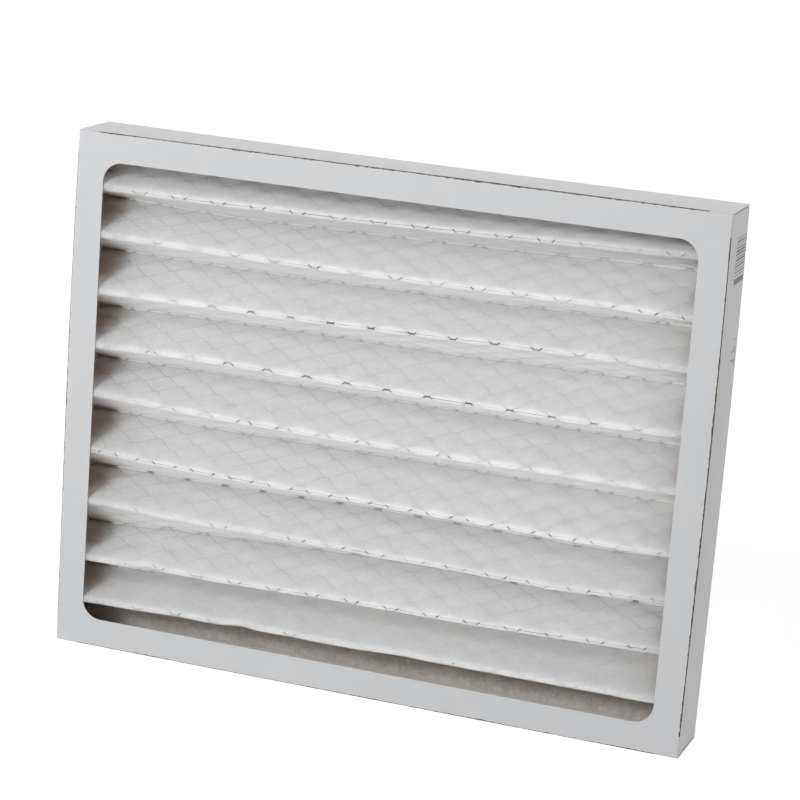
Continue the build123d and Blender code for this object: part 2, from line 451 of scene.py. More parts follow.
def shoulder(left, length):
    """How far a face lifts and leans where the stretch left to its front fold is short."""
    slope = math.tan(SHOULDER_TURN)
    near = np.minimum(left, SHOULDER)
    lift = slope * (near - near**2 / (2 * SHOULDER)) - slope * SHOULDER / 2 * left / length
    lean = np.arctan(slope * (1 - near / SHOULDER - SHOULDER / (2 * length)))
    return lift, lean


def add_face(i, fold, angle):
    """A face's rows, from the last row to its fold. Returns the angle at which it gets there."""
    upper = fold[3] == FRONT
    turned = angle + (SHOULDER_TURN if upper else 0.0)
    (start_y, start_z), (end_y, end_z) = rows[-1][:2], rim_of(fold, turned)
    length = np.hypot(end_y - start_y, end_z - start_z)
    facing = np.arctan2(end_z - start_z, end_y - start_y) - math.pi / 2
    bulge = wander(across, i, 75 * MM, seed=15.0) * FACE_BULGE
    bulge += wander(across, i, 30 * MM, seed=17.0) * FACE_BULGE * 0.25
    for t in np.linspace(0, 1, FACE_STEPS + 1)[1:-1]:
        t = 1 - (1 - t) ** CROWDING if upper else t
        lift = bulge * math.sin(math.pi * t) ** 2 * (1.0 if upper else LOWER_BULGE)
        lean = 0.0
        if upper:
            rise, lean = shoulder((1 - t) * length, length)
            lift = lift + rise
        y = start_y + (end_y - start_y) * t + np.cos(facing) * lift
        z = start_z + (end_z - start_z) * t + np.sin(facing) * lift
        add_row(y, z, facing + lean)
    return turned


print("a shoulder turns", round(math.degrees(SHOULDER_TURN)), "degrees over", SHOULDER / MM, "mm")

# %% Walk down the sheet
flap_steps = np.linspace(0, 1, FLAP_STEPS + 1)
crest_rows, valley_rows = [], []  # the row in the middle of each fold

add_flap(folds[0][0] + VALLEY_RADIUS, sheet_high.z, folds[0][1], flap_steps[:-1])
add_bend(folds[0], flap_angle, angles[0], VALLEY_STEPS // 2)
for i, (fold, angle, following) in enumerate(zip(folds[1:], angles, [*angles[1:], flap_angle])):
    turned = add_face(i, fold, angle)
    bend_steps = CREST_STEPS if fold[3] == FRONT else VALLEY_STEPS
    if following is flap_angle:
        bend_steps //= 2
    (crest_rows if fold[3] == FRONT else valley_rows).append(len(rows) + bend_steps // 2)
    add_bend(fold, turned, following, bend_steps)
add_flap(*rows[-1][:2], sheet_low.z, flap_steps[1:])

folded = np.array(rows).transpose(0, 2, 1)  # row, column, (y, z, normal y, normal z)
middle_line = folded[:, COLUMNS // 2, :2]
lengths = np.hypot(*np.diff(middle_line, axis=0).T)
developed = np.concatenate([[0], np.cumsum(lengths)])  # how far along the flat sheet each row is
crest_s, rear_s = developed[crest_rows], developed[valley_rows]
flat_length = float(developed[-1])
flat_width = 2 * sheet_half
print(f"{len(rows)} rows; cut size {1000 * flat_width:.1f} x {1000 * flat_length:.1f} mm")
print("front folds at", [round(float(1000 * s)) for s in crest_s], "mm along the flat sheet")

# %% Lay flat points on the folds
def fold_up(x, s, behind):
    """Lays flat points (x, s) onto the folded sheet, each a distance behind its surface."""
    column = np.clip((x + sheet_half) / flat_width, 0, 1) * (COLUMNS - 1)
    left = np.minimum(column.astype(int), COLUMNS - 2)
    row = np.clip(np.searchsorted(developed, s, side="right") - 1, 0, len(developed) - 2)
    down = np.clip((s - developed[row]) / (developed[row + 1] - developed[row]), 0, 1)[:, None]
    aside = (column - left)[:, None]
    above = folded[row, left] * (1 - aside) + folded[row, left + 1] * aside
    below = folded[row + 1, left] * (1 - aside) + folded[row + 1, left + 1] * aside
    at = above * (1 - down) + below * down
    return np.column_stack([x, at[:, 0] - at[:, 2] * behind, at[:, 1] - at[:, 3] * behind])


print("flat points can be folded")

# %% [markdown]
# ## The expanded-metal pattern
#
# Expanded metal is one sheet of steel, slit and stretched into diamonds. Every strand zigzags
# across the width and is joined to the next one at each peak. The pattern could be drawn twice,
# once in steel and once as lines on the sheet, pressed in as relief and darkened as the steel's
# painted shade. It is written only once, as a row number along the sheet, so that the two agree.

# %% Rows of diamonds
DIAMOND_LONG = 31.58 * MM
DIAMOND_ROW = 11.45 * MM  # half the short way of a diamond
EVEN_PEAK = -half_width + 4.1 * MM  # a peak on an even row
JOINT_LENGTH = 3.2 * MM  # flat stretch at each peak, where two strands are one
CREST_ROWS = (0.75, 10.02, 19.15, 28.17, 37.33, 46.44, 55.75, 64.86, 73.9)  # at each front fold
CREST_SKEW = (-0.07, -0.4, -0.35, -0.2, -0.18, -0.05, -0.25, -0.2, -0.22)  # left end to right
CORRECTIONS = 4


def row_number(x, s):
    """Which row of the grid lies at a flat point, as a number with a fraction."""
    ends = np.concatenate([[0], crest_s, [flat_length]])
    first = CREST_ROWS[0] - crest_s[0] / DIAMOND_ROW
    last = CREST_ROWS[-1] + (flat_length - crest_s[-1]) / DIAMOND_ROW
    base = np.interp(s, ends, [first, *CREST_ROWS, last])
    skew = np.interp(s, ends, [CREST_SKEW[0], *CREST_SKEW, CREST_SKEW[-1]])
    return base + skew * (x + half_width) / (2 * half_width)


def length_at_row(x, row):
    """The opposite of row_number: how far along the flat sheet a row lies."""
    s = np.interp(row, row_number(np.zeros_like(developed), developed), developed)
    for _ in range(CORRECTIONS):
        s = s - (row_number(x, s) - row) * DIAMOND_ROW
    return s


end_rows = row_number(np.zeros(2), np.array([0.0, flat_length]))
print("rows of diamonds from", round(float(end_rows[0]), 1), "to", round(float(end_rows[1]), 1))

# %% [markdown]
# ## The pleated sheet
#
# On the real filter this is the white nonwoven, a soft felt of fibres about as stiff as card. It
# could be draped by a cloth simulation, but the steel holds it, so it has no free drape to find.
# A flat grid of faces, as large as the cut sheet, gets its UV map while it is still flat, and
# each of its points is then laid onto the folds.
#
# Some facts ride along on the points for the finish: the grid's row number, the distance along
# the sheet from the nearest front fold and rear fold, which points are on the face under a front
# fold or on an end flap, and how worn the fold is.

# %% Helpers for pieces
def everything(bm):
    """All the parts of a bmesh."""
    return list(bm.verts) + list(bm.edges) + list(bm.faces)


def points_of(geometry):
    """The vertices in what an operator returned."""
    return [g for g in geometry if isinstance(g, bmesh.types.BMVert)]


def move_to(bm, places):
    """Puts each vertex at its place."""
    for v, place in zip(bm.verts, places):
        v.co = place


def finish_piece(bm, name, replaced=(), smooth_angle=None):
    """Turns a bmesh into a piece of the object, in place and riding on its body."""
    mesh = bpy.data.meshes.new(name)
    bm.to_mesh(mesh)
    bm.free()
    for polygon in mesh.polygons:
        polygon.use_smooth = True
    if smooth_angle:
        mesh.set_sharp_from_angle(angle=math.radians(smooth_angle))
    piece = bpy.data.objects.new(name, mesh)
    bpy.context.scene.collection.objects.link(piece)
    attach(piece, "root")
    if replaced:
        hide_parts(*replaced)
    triangles = sum(len(p.vertices) - 2 for p in mesh.polygons)
    print(f"{name}: {triangles} triangles")
    return piece


print("piece helpers ready")

# %% Cut the sheet flat, then fold it
bm = bmesh.new()
bmesh.ops.create_grid(bm, x_segments=COLUMNS - 1, y_segments=len(rows) - 1, size=0.5)
for v in bm.verts:
    column, row = round((v.co.x + 0.5) * (COLUMNS - 1)), round((0.5 - v.co.y) * (len(rows) - 1))
    v.co = Vector((across[column], developed[row], 0))
uv_layer = bm.loops.layers.uv.new("flat")
for face in bm.faces:
    for loop in face.loops:
        loop[uv_layer].uv = (loop.vert.co.x + sheet_half, loop.vert.co.y)
flat_x, flat_s = np.array([v.co for v in bm.verts])[:, :2].T
move_to(bm, fold_up(flat_x, flat_s, 0.0))
bm.normal_update()
sheet = finish_piece(bm, "pleated_sheet", ["pleated_media"])

# %% What each point of the sheet knows
CREST_WEAR = (  # how worn each front fold is, at six even places from left to right
    (0.1, 0.9, 1.0, 1.0, 0.5, 0.3),
    (0.15, 0.35, 0.5, 0.5, 0.6, 0.6),
    (0.05, 0.2, 0.8, 0.95, 0.45, 0.2),
    (0.15, 0.35, 0.9, 1.0, 0.6, 0.25),
    (0.2, 0.5, 0.55, 0.45, 0.2, 0.1),
    (0.6, 0.85, 0.85, 0.8, 0.45, 0.25),
    (0.05, 0.15, 0.5, 0.6, 0.65, 0.5),
    (0.1, 0.4, 0.9, 1.0, 0.75, 0.6),
    (0.1, 0.35, 0.3, 0.25, 0.12, 0.08),
)
UNDER_FADE = 2.5 * MM  # past a front fold, where the face under it begins
DEEP_FADE = 1.5 * MM  # at the rear fold, where that face ends
FLAP_FADE = 14 * MM  # past an end flap


def smooth_step(t):
    """A soft step from 0 to 1."""
    t = np.clip(t, 0, 1)
    return t * t * (3 - 2 * t)


def gaps_to(places):
    """How far along the sheet each point lies from each of some folds."""
    return np.abs(flat_s[:, None] - places[None, :])


over = np.clip(np.searchsorted(crest_s, flat_s) - 1, 0, len(crest_s) - 1)  # fold over each point
past_crest = smooth_step((flat_s - crest_s[over]) / UNDER_FADE)
before_rear = smooth_step((rear_s[over] - flat_s) / DEEP_FADE + 0.5)
from_end = np.minimum(flat_s, flat_length - flat_s)
wear_lines = np.array([along_width(values, across) for values in CREST_WEAR])
column = np.clip(np.searchsorted(across, flat_x), 0, COLUMNS - 1)
facts = {
    "grid_row": row_number(flat_x, flat_s),
    "fold_gap": gaps_to(crest_s).min(axis=1),
    "from_valley": gaps_to(np.append(rear_s, END_FLAP)).min(axis=1),
    "under": past_crest * before_rear,
    "on_flap": np.clip((END_FLAP + FLAP_FADE - from_end) / FLAP_FADE, 0, 1),
    "wear": wear_lines[gaps_to(crest_s).argmin(axis=1), column],
}
for name, values in facts.items():
    attribute = sheet.data.attributes.new(name, "FLOAT", "POINT")
    attribute.data.foreach_set("value", values.astype(np.float32))
print("facts on each point:", ", ".join(facts))

# %% [markdown]
# ## The steel grid
#
# On the real filter this is thin galvanised expanded metal. A Wireframe modifier on a sheet of
# diamonds would be quicker, but its strands would have no joints and would thin out at the
# bends. So one zigzag strand is drawn flat with extrusions, a small oblong section pushed along
# from peak to peak. It is copied once for each row, trimmed to the sheet's width, and laid onto
# the same folds as the sheet, just behind it.

# %% One strand
STRAND_WIDTH = 0.95 * MM
STRAND_THICK = 0.45 * MM
LEG_STEPS = 6
JOINT_OVERLAP = 0.9  # how much of its width a strand shares with the next one at a joint

half_long = DIAMOND_LONG / 2
spare = half_long + 2 * MM  # beyond each side of the sheet, to be trimmed
first_peak = EVEN_PEAK - DIAMOND_LONG * math.ceil((sheet_half + EVEN_PEAK + spare) / DIAMOND_LONG)
peaks = int((2 * sheet_half + 4 * spare) / half_long) + 2

stops = []  # (x, y) down the middle of one strand, y from 0 to one row
for i in range(peaks):
    odd = i % 2
    inset = (0.5 - odd) * STRAND_WIDTH * JOINT_OVERLAP
    x, y = first_peak + i * half_long, odd * DIAMOND_ROW + inset
    next_y = (1 - odd) * DIAMOND_ROW - inset
    stops.append((x - JOINT_LENGTH / 2, y))
    for t in np.linspace(0, 1, LEG_STEPS, endpoint=False):
        leg_x = x + JOINT_LENGTH / 2 + (half_long - JOINT_LENGTH) * t
        stops.append((leg_x, y + (next_y - y) * t))

bm = bmesh.new()
low, high, side = -STRAND_THICK / 2, STRAND_THICK / 2, STRAND_WIDTH / 2
start_x, start_y = stops[0]
section = ((-side, low), (side, low), (side, high), (-side, high))
end = bm.faces.new([bm.verts.new((start_x, start_y + a, b)) for a, b in section])
for (x0, y0), (x1, y1) in zip(stops, stops[1:]):
    grown = bmesh.ops.extrude_face_region(bm, geom=[end])["geom"]
    end = next(g for g in grown if isinstance(g, bmesh.types.BMFace))
    bmesh.ops.translate(bm, vec=(x1 - x0, y1 - y0, 0), verts=points_of(grown))
print("one strand:", peaks, "peaks,", len(bm.faces), "faces")

# %% All the rows, then fold
BEHIND_SHEET = 0.65 * MM
SIDE_TRIM = 1.0 * MM
END_TRIM = 0.5 * MM

strand = everything(bm)
for n in range(math.floor(end_rows[0]) - 1, math.ceil(end_rows[1]) + 1):
    copy = bmesh.ops.duplicate(bm, geom=strand)["geom"]
    shift = half_long if n % 2 else 0.0
    bmesh.ops.translate(bm, vec=(shift, n * DIAMOND_ROW, 0), verts=points_of(copy))
bmesh.ops.delete(bm, geom=points_of(strand), context="VERTS")
for way in (-1, 1):
    cut = {"plane_co": (way * (sheet_half - SIDE_TRIM), 0, 0), "plane_no": (way, 0, 0)}
    bmesh.ops.bisect_plane(bm, geom=everything(bm), clear_outer=True, **cut)
bmesh.ops.recalc_face_normals(bm, faces=bm.faces)
steel_x, steel_row, up = np.array([v.co for v in bm.verts]).T
along = length_at_row(steel_x, steel_row / DIAMOND_ROW)
behind = BEHIND_SHEET + STRAND_THICK / 2 + up
move_to(bm, fold_up(steel_x, np.clip(along, 0, flat_length), behind))
inside = (along > END_TRIM) & (along < flat_length - END_TRIM)
gone = [v for v, kept in zip(bm.verts, inside) if not kept]
bmesh.ops.delete(bm, geom=gone, context="VERTS")
grid = finish_piece(bm, "expanded_grid", ["support_grid"], smooth_angle=50)

# %% [markdown]
# ## The paperboard trays
#
# On the real filter each tray is one die-cut blank of coated board, folded up on its scores and
# glued at the corners. The CAD trays are right in every size, but real board is never flat. They
# could be modelled afresh, but a copy keeps every size: each is welded, cut into small cells by
# planes, and then eased out of true by a gentle field that both trays share, so that they stay
# nested. Faces then get a finish by where they lie: the coated outside, the brown inside, the
# raw cut edges and the torn fold lines.

# %% How the board bends
SIDE_BOW = 1.3 * MM
TOP_SAG = 0.9 * MM
PANEL_WAVE = 0.25 * MM
WAVE_SIZE = 90 * MM
WALL_REACH = 40 * MM  # how far in from a side wall its bow is felt
TOP_REACH = 30 * MM  # how far down from the top its sag is felt
FACE_REACH = 8 * MM  # how far behind a face its wave is felt
RIM_REACH = 12 * MM  # the wave dies out over this distance from the edges


def share_of(amount):
    """A number kept between 0 and 1."""
    return np.clip(amount, 0, 1)


def eased(points):
    """Where points of the board go, as the walls bow and sag a little."""
    moved = np.array(points, float)
    x, y, z = moved.T
    to_wall = share_of(1 - (half_width - np.abs(x)) / WALL_REACH) ** 2
    up_wall = np.sin(np.pi * share_of(z / height) ** 1.35)
    moved[:, 0] += np.sign(x) * SIDE_BOW * up_wall * to_wall
    to_top = share_of(1 - (height - z) / TOP_REACH)
    along_top = np.sin(np.pi * share_of((x + half_width) / (2 * half_width)))
    backwards = share_of((y + half_depth) / (2 * half_depth))
    moved[:, 2] -= TOP_SAG * to_top * along_top * backwards**1.5
    wave = [noise.noise(Vector((p[0] / WAVE_SIZE, p[2] / WAVE_SIZE, 2.0))) for p in points]
    slack = share_of(1 - np.abs(np.abs(y) - half_depth) / FACE_REACH)
    inner = share_of((half_width - np.abs(x)) / RIM_REACH)
    inner *= share_of(np.minimum(z, height - z) / RIM_REACH)
    moved[:, 1] -= np.sign(y) * np.abs(wave) * PANEL_WAVE * slack * inner
    return moved


print("board bows", SIDE_BOW / MM, "mm and sags", TOP_SAG / MM, "mm")

# %% Which finish a face of the board gets
COATED, INSIDE, CUT_EDGE, TORN = range(4)
BOARD = 0.7 * MM
FOLD_RADIUS = 1.0 * MM
ON_SKIN = 0.03 * MM  # a face this near to the outside lies on it
COAT = 0.06 * MM
TORN_REACH = 0.4 * MM  # the torn band runs from this far out of the fold's centre to the coat


def finish_of(face, low, high, look):
    """The finish of a tray's face, by where it lies. look is -1 if the tray looks to -Y."""
    c, n = face.calc_center_median(), face.normal
    from_front, from_back = c.y - low.y, high.y - c.y
    from_face, from_rim = (from_front, from_back) if look < 0 else (from_back, from_front)
    from_side = min(c.x - low.x, high.x - c.x)
    from_end = min(c.z - low.z, high.z - c.z)
    depths = sorted((from_face, from_side, from_end))
    if depths[0] < ON_SKIN:
        return COATED
    if from_rim < ON_SKIN:
        return CUT_EDGE
    if depths[1] < FOLD_RADIUS:
        reach = math.hypot(*[max(0.0, FOLD_RADIUS - depth) for depth in depths])
        if reach > FOLD_RADIUS - COAT:
            return COATED
        return TORN if reach > TORN_REACH else INSIDE
    return CUT_EDGE if from_face < BOARD and abs(n.y) < 0.3 else INSIDE


print("finishes by place, for board of", BOARD / MM, "mm")

# %% Warped copies of the trays
CELL = 9 * MM
WELD = 0.002 * MM
FLAT_WITHIN = math.radians(0.5)


def tray_copy(node, name, look):
    """A welded copy of a CAD tray, cut into cells and eased. look is -1 if it looks to -Y."""
    low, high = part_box(node)
    bm = bmesh.new()
    bm.from_mesh(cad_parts[node].data)
    bmesh.ops.remove_doubles(bm, verts=bm.verts, dist=WELD)
    bmesh.ops.dissolve_limit(bm, angle_limit=FLAT_WITHIN, verts=bm.verts, edges=bm.edges)
    for axis in (0, 2):
        cuts = int((high[axis] - low[axis]) / CELL)
        for i in range(1, cuts):
            at, normal = Vector(), Vector()
            at[axis] = low[axis] + (high[axis] - low[axis]) * i / cuts
            normal[axis] = 1
            bmesh.ops.bisect_plane(bm, geom=everything(bm), plane_co=at, plane_no=normal)
    for face in bm.faces:
        face.material_index = finish_of(face, low, high, look)
    rest = bm.verts.layers.float_vector.new("rest")
    for v in bm.verts:
        v[rest] = v.co.copy()
    move_to(bm, eased([v.co for v in bm.verts]))
    bm.normal_update()
    return finish_piece(bm, name, [node], smooth_angle=35)


front_board = tray_copy("front_tray", "front_board", -1)
rear_board = tray_copy("rear_tray", "rear_board", 1)

# %% [markdown]
# ## Print on the side wall
#
# The right wall carries a block of printed bars and a small outlined arrow that shows which way
# the air goes. The bars are plain stripes of mixed widths that spell nothing. A procedural mask
# in the board's material could draw them, but its edges would be hard to place. Ink has no real
# thickness, so each mark is a flat face laid a hair off the board, eased with it.

# %% Bars
BAR_TOP = 380.4 * MM
BAR_RUN = (-5.0 * MM, 23.4 * MM)  # along the depth of the wall
BARS = (  # ink, then gap, in mm
    (0.5, 1.6), (1.0, 1.3), (0.5, 1.9), (0.9, 1.1), (1.5, 0.9), (1.3, 1.2), (0.7, 0.8),
    (1.5, 1.3), (0.8, 1.1), (1.2, 1.5), (0.5, 1.2), (0.9, 1.6), (0.6, 1.9), (4.2, 0.0),
)

bm = bmesh.new()


def patch(cells):
    """A small flat grid of points, from -0.5 to 0.5 each way, to be placed as ink."""
    return bmesh.ops.create_grid(bm, x_segments=cells, y_segments=1, size=0.5)["verts"]


def ink(y0, y1, z0, z1, cells=4):
    """A flat printed patch on the right wall."""
    for v in patch(cells):
        y, z = y0 + (y1 - y0) * (v.co.x + 0.5), z0 + (z1 - z0) * (v.co.y + 0.5)
        v.co = Vector((half_width, y, z))


z = BAR_TOP
for width, gap in BARS:
    ink(*BAR_RUN, z - width * MM, z)
    z -= (width + gap) * MM
print(len(BARS), "bars")

# %% Arrow
ARROW_LOW, ARROW_HIGH = 286.0 * MM, 300.0 * MM
ARROW_TAIL, ARROW_TIP = 9.5 * MM, 23.0 * MM
NECK_PLACE = 0.55  # of the way from the tail to the tip
SHAFT_HALF = 3.0 * MM
LINE = 0.8 * MM
SLANT_LINE = 1.2 * LINE
DASH = (14.0 * MM, 18.0 * MM, 304.6 * MM, 305.2 * MM)
INK_LIFT = 0.06 * MM

mid, head_half = (ARROW_LOW + ARROW_HIGH) / 2, (ARROW_HIGH - ARROW_LOW) / 2
neck = ARROW_TAIL + NECK_PLACE * (ARROW_TIP - ARROW_TAIL)
ink(ARROW_TAIL, neck, mid + SHAFT_HALF, mid + SHAFT_HALF + LINE)
ink(ARROW_TAIL, neck, mid - SHAFT_HALF - LINE, mid - SHAFT_HALF)
ink(ARROW_TAIL, ARROW_TAIL + LINE, mid - SHAFT_HALF, mid + SHAFT_HALF, 1)
for way in (-1, 1):
    ink(neck, neck + LINE, *sorted((mid + way * SHAFT_HALF, mid + way * head_half)), 1)
    for v in patch(4):
        t = v.co.x + 0.5
        y, z = neck + (ARROW_TIP - neck) * t, mid + way * head_half * (1 - t) + v.co.y * SLANT_LINE
        v.co = Vector((half_width, y, z))
ink(*DASH, 1)
bmesh.ops.recalc_face_normals(bm, faces=bm.faces)
move_to(bm, eased([v.co for v in bm.verts]) + np.array([INK_LIFT, 0, 0]))
for face in bm.faces:
    if face.normal.x < 0:
        face.normal_flip()
printed = finish_piece(bm, "wall_print")

# %% [markdown]
# ## Board finishes
#
# Coated board is white, smooth and faintly mottled. Its inside shows the brown-grey recycled core,
# and its torn edges show that core darkened with painted shade, as in an open slit. Its raw cut
# edges are tan, lightened towards cream as a painted highlight. Along the cut scores the coating
# is torn in a ragged line. It could be cut into the mesh, but it is about a millimetre wide and
# hardly deep, so the material draws it: noise moves a thin line about the fold, and its middle
# shows the core, darkened with painted shade.
#
# The patterns read each point's place before the board was eased, so that they follow it.

# %% Torn lines along the folds
SCORE_MARGIN = 17 * MM  # each cut score stops this far from the corners
SCORE_FADE = 1 * MM
TEAR_WIDTH, TEAR_DRIFT = 2.6 * MM, 1.6 * MM
TEAR_INSET, DRIFT_INSET = 0.75 * MM, 0.6 * MM
TEAR_SOFT = 0.12 * MM
RIM_START, RIM_END, RIM_SHARE = 0.3 * MM, 0.9 * MM, 0.6


def from_outside(tree, half_size, place):
    """The distance in from the pair of walls that stand half_size from the middle."""
    return less(tree, half_size, sums(tree, "ABSOLUTE", place))


def torn_folds(tree, where):
    """Ragged lines along the scored folds: where the coat is torn, and the pale rim beside."""
    x, y, z = parts_of(tree, where)
    from_face = from_outside(tree, half_depth, y)
    from_side = from_outside(tree, half_width, x)
    from_end = from_outside(tree, height / 2, less(tree, z, height / 2))
    fine, slow = noise_of(tree, where, 230.0, 4.0, 0.65), noise_of(tree, where, 14.0, 2.0)
    ragged = sums(tree, "MULTIPLY_ADD", fine, TEAR_WIDTH, -TEAR_INSET)
    ragged = sums(tree, "MULTIPLY_ADD", slow, TEAR_DRIFT, less(tree, ragged, DRIFT_INSET))
    torn, rim = 0.0, 0.0
    for near, along in ((from_side, from_end), (from_end, from_side)):
        squared = sums(tree, "MULTIPLY_ADD", near, near, times(tree, from_face, from_face))
        gap = less(tree, sums(tree, "SQRT", squared), ragged)
        scored = ramp(tree, along, SCORE_MARGIN - SCORE_FADE, SCORE_MARGIN + SCORE_FADE)
        line = ramp(tree, gap, -TEAR_SOFT, TEAR_SOFT, 1.0, 0.0)
        beside = ramp(tree, gap, RIM_START, RIM_END, RIM_SHARE, 0.0)
        torn = larger(tree, torn, times(tree, line, scored))
        rim = larger(tree, rim, times(tree, beside, scored))
    return torn, rim


print("scores stop", SCORE_MARGIN / MM, "mm from the corners")

# %% One recipe for every board finish
CORE_AND_SLIT_SHADE_DARK, CORE_AND_SLIT_SHADE_LIGHT = (0.10, 0.075, 0.06, 1), (0.26, 0.21, 0.175, 1)
RIM_COLOUR = (0.86, 0.83, 0.76, 1)
FIBRE_DEPTH = 0.12 * MM
BOARD_GLOSS = 0.12
SPECK_SHARE = 0.8


def board_material(name, colour, tint, roughness, mottle, grain, folds=False):
    """Paperboard: a colour that drifts towards a tint, with fine fibres under it."""
    material, tree, output = new_material(name)
    where = add(tree, "ShaderNodeAttribute", {"attribute_name": "rest"}).outputs["Vector"]
    cloud = ramp(tree, noise_of(tree, where, 22.0, 4.0), 0.3, 0.7)
    fibres = noise_of(tree, where, 1400.0, 3.0, 0.6)
    specks = ramp(tree, noise_of(tree, where, 420.0, 2.0), 0.68, 0.76)
    specks = times(tree, specks, mottle * SPECK_SHARE)
    amount = sums(tree, "MULTIPLY_ADD", cloud, mottle, specks)
    shade = blend(tree, amount, (*colour, 1), (*tint, 1))
    relief = fibres
    if folds:
        torn, rim = torn_folds(tree, where)
        # Painted shade: the core in the torn line is darkened, as in an open slit.
        core_and_shade = blend(tree, fibres, CORE_AND_SLIT_SHADE_DARK, CORE_AND_SLIT_SHADE_LIGHT)
        shade = blend(tree, torn, blend(tree, rim, shade, RIM_COLOUR), core_and_shade)
        relief = sums(tree, "MULTIPLY_ADD", torn, -2.0, fibres)
    bump = bump_of(tree, relief, grain, FIBRE_DEPTH)
    skin = skin_of(tree, shade, roughness, Normal=bump, Specular_IOR_Level=BOARD_GLOSS)
    tree.links.new(skin, output.inputs["Surface"])
    return material


print("board recipe ready")

# %% Finishes of the board and its print
BOARD_FINISHES = (  # colour, tint, roughness, mottle, grain; in the order COATED to TORN
    ("coated_board", (0.735, 0.735, 0.742), (0.65, 0.65, 0.65), 0.5, 0.16, 0.25, True),
    ("board_inside", (0.34, 0.265, 0.20), (0.25, 0.19, 0.14), 0.85, 0.6, 0.6),
    # Raw cut edges: a tan lightened towards cream as a painted highlight where the edges catch the
    # light.
    ("board_cut_edge", (0.62, 0.54, 0.45), (0.42, 0.34, 0.27), 0.9, 0.7, 0.7),
    # Torn faces: the core's brown, darkened with painted shade, as in an open slit.
    ("board_torn_core", (0.16, 0.12, 0.095), (0.32, 0.26, 0.21), 0.95, 0.7, 0.9),
)
INK_FINISH = ("grey_ink", (0.23, 0.20, 0.185), (0.38, 0.35, 0.33), 0.6, 0.5, 0.2)

for settings in BOARD_FINISHES:
    finish = board_material(*settings)
    for board in (front_board, rear_board):
        board.data.materials.append(finish)
printed.data.materials.append(board_material(*INK_FINISH))
print(len(BOARD_FINISHES), "board finishes and one ink")

# %% [markdown]
# ## Nonwoven finish
#
# The sheet is white felt, thin enough for light to come through, and where the steel behind it
# blocks that light, painted shade draws its lines. Real translucence could be had from subsurface
# scattering, but that needs a closed volume, and the sheet is a single layer. So a rough skin is
# mixed with a translucent side, and the share of each changes with how deep in a pleat a point
# lies. The dark marks where the steel wears through at the folds, the painted shade near the
# walls and the felt's fuzz are masks from the facts that ride on the points, so that they follow
# the folds.

# %% What the nonwoven's nodes read
media, tree, output = new_material("nonwoven")
where = tree.nodes.new("ShaderNodeTexCoord").outputs["Object"]
place_x, place_y, place_z = parts_of(tree, where)
flat_at = add(tree, "ShaderNodeUVMap", {"uv_map": "flat"}).outputs[0]
flat_across, flat_along = parts_of(tree, flat_at)[:2]
row, to_fold, from_valley, under, on_flap, wear = (  # in the order of facts
    add(tree, "ShaderNodeAttribute", {"attribute_name": fact}).outputs["Fac"] for fact in facts
)
deep = ramp(tree, from_valley, 2 * MM, 24 * MM, 1.0, 0.0)
deep_upper = times(tree, deep, less(tree, 1.0, under))
print("the nonwoven reads", len(facts), "facts")

# %% How near the nearest strand is, in rows
ZIGZAG = 2 / DIAMOND_LONG
FLATS = JOINT_LENGTH / DIAMOND_LONG

swing = sums(tree, "MULTIPLY_ADD", flat_across, ZIGZAG, (-sheet_half - EVEN_PEAK) * ZIGZAG)
swing = ramp(tree, sums(tree, "PINGPONG", swing, 1.0), FLATS, 1 - FLATS, way="LINEAR")
rising = sums(tree, "PINGPONG", less(tree, row, swing), 1.0)
falling = sums(tree, "PINGPONG", sums(tree, "ADD", row, swing), 1.0)
to_strand = sums(tree, "MINIMUM", rising, falling)
wobble = noise_of(tree, flat_at, 260.0, 2.0)
print("flat joints take", round(FLATS, 2), "of each half diamond")

# %% Dark marks where the steel wears through at the front folds
MARK_EDGE = (0.045, 0.10)  # rows from a strand, from fully dark to clear
FOLD_EDGE = (0.35 * MM, 1.0 * MM)  # the same, from the fold
CRACK_EDGE = (0.12 * MM, 0.35 * MM)
MARK_COLOUR, MARK_DEPTH = (0.10, 0.085, 0.075, 1), 0.95

near_strand = sums(tree, "MULTIPLY_ADD", wobble, 0.06, to_strand)
near_fold = sums(tree, "MULTIPLY_ADD", wobble, -0.8 * MM, to_fold)
worn = sums(tree, "ADD", noise_of(tree, flat_at, 38.0, 2.0), times(tree, wear, 0.62))
marks = times(
    tree,
    ramp(tree, near_strand, *MARK_EDGE, 1.0, 0.0),
    ramp(tree, near_fold, *FOLD_EDGE, 1.0, 0.0),
    ramp(tree, worn, 0.52, 1.02),
)
worn = sums(tree, "ADD", noise_of(tree, flat_at, 30.0, 3.0), times(tree, wear, 0.35))
cracked = times(tree, ramp(tree, worn, 0.72, 0.94, 0.3, 0.85), ramp(tree, wear, 0.1, 0.6))
crack = ramp(tree, to_fold, *CRACK_EDGE, 1.0, 0.0)
marks = larger(tree, marks, times(tree, crack, cracked))
print("marks are", MARK_DEPTH, "dark at most")

# %% White felt, with painted light deep in the pleats and painted shade at the bends
FELT_DULL, FELT_WHITE = (0.86, 0.86, 0.86, 1), (0.92, 0.92, 0.915, 1)
FELT_PAINTED_LIGHT = (0.985, 0.985, 0.98, 1)
BEND_PAINTED_SHADE, FIRST_FACE_PAINTED_SHADE = (0.5, 0.495, 0.49, 1), (0.5, 0.49, 0.485, 1)
BEND_EDGE = (0.8 * MM, 2.6 * MM)  # from a rear fold
FIRST_EDGE = (float(crest_s[0]) - 11 * MM, float(crest_s[0]) - 4 * MM)  # along the sheet

fuzz = noise_of(tree, where, 900.0, 5.0, 0.65)
cloud = noise_of(tree, where, 70.0, 4.0, 0.6)
pale = blend(tree, ramp(tree, cloud, 0.3, 0.7), FELT_DULL, FELT_WHITE)
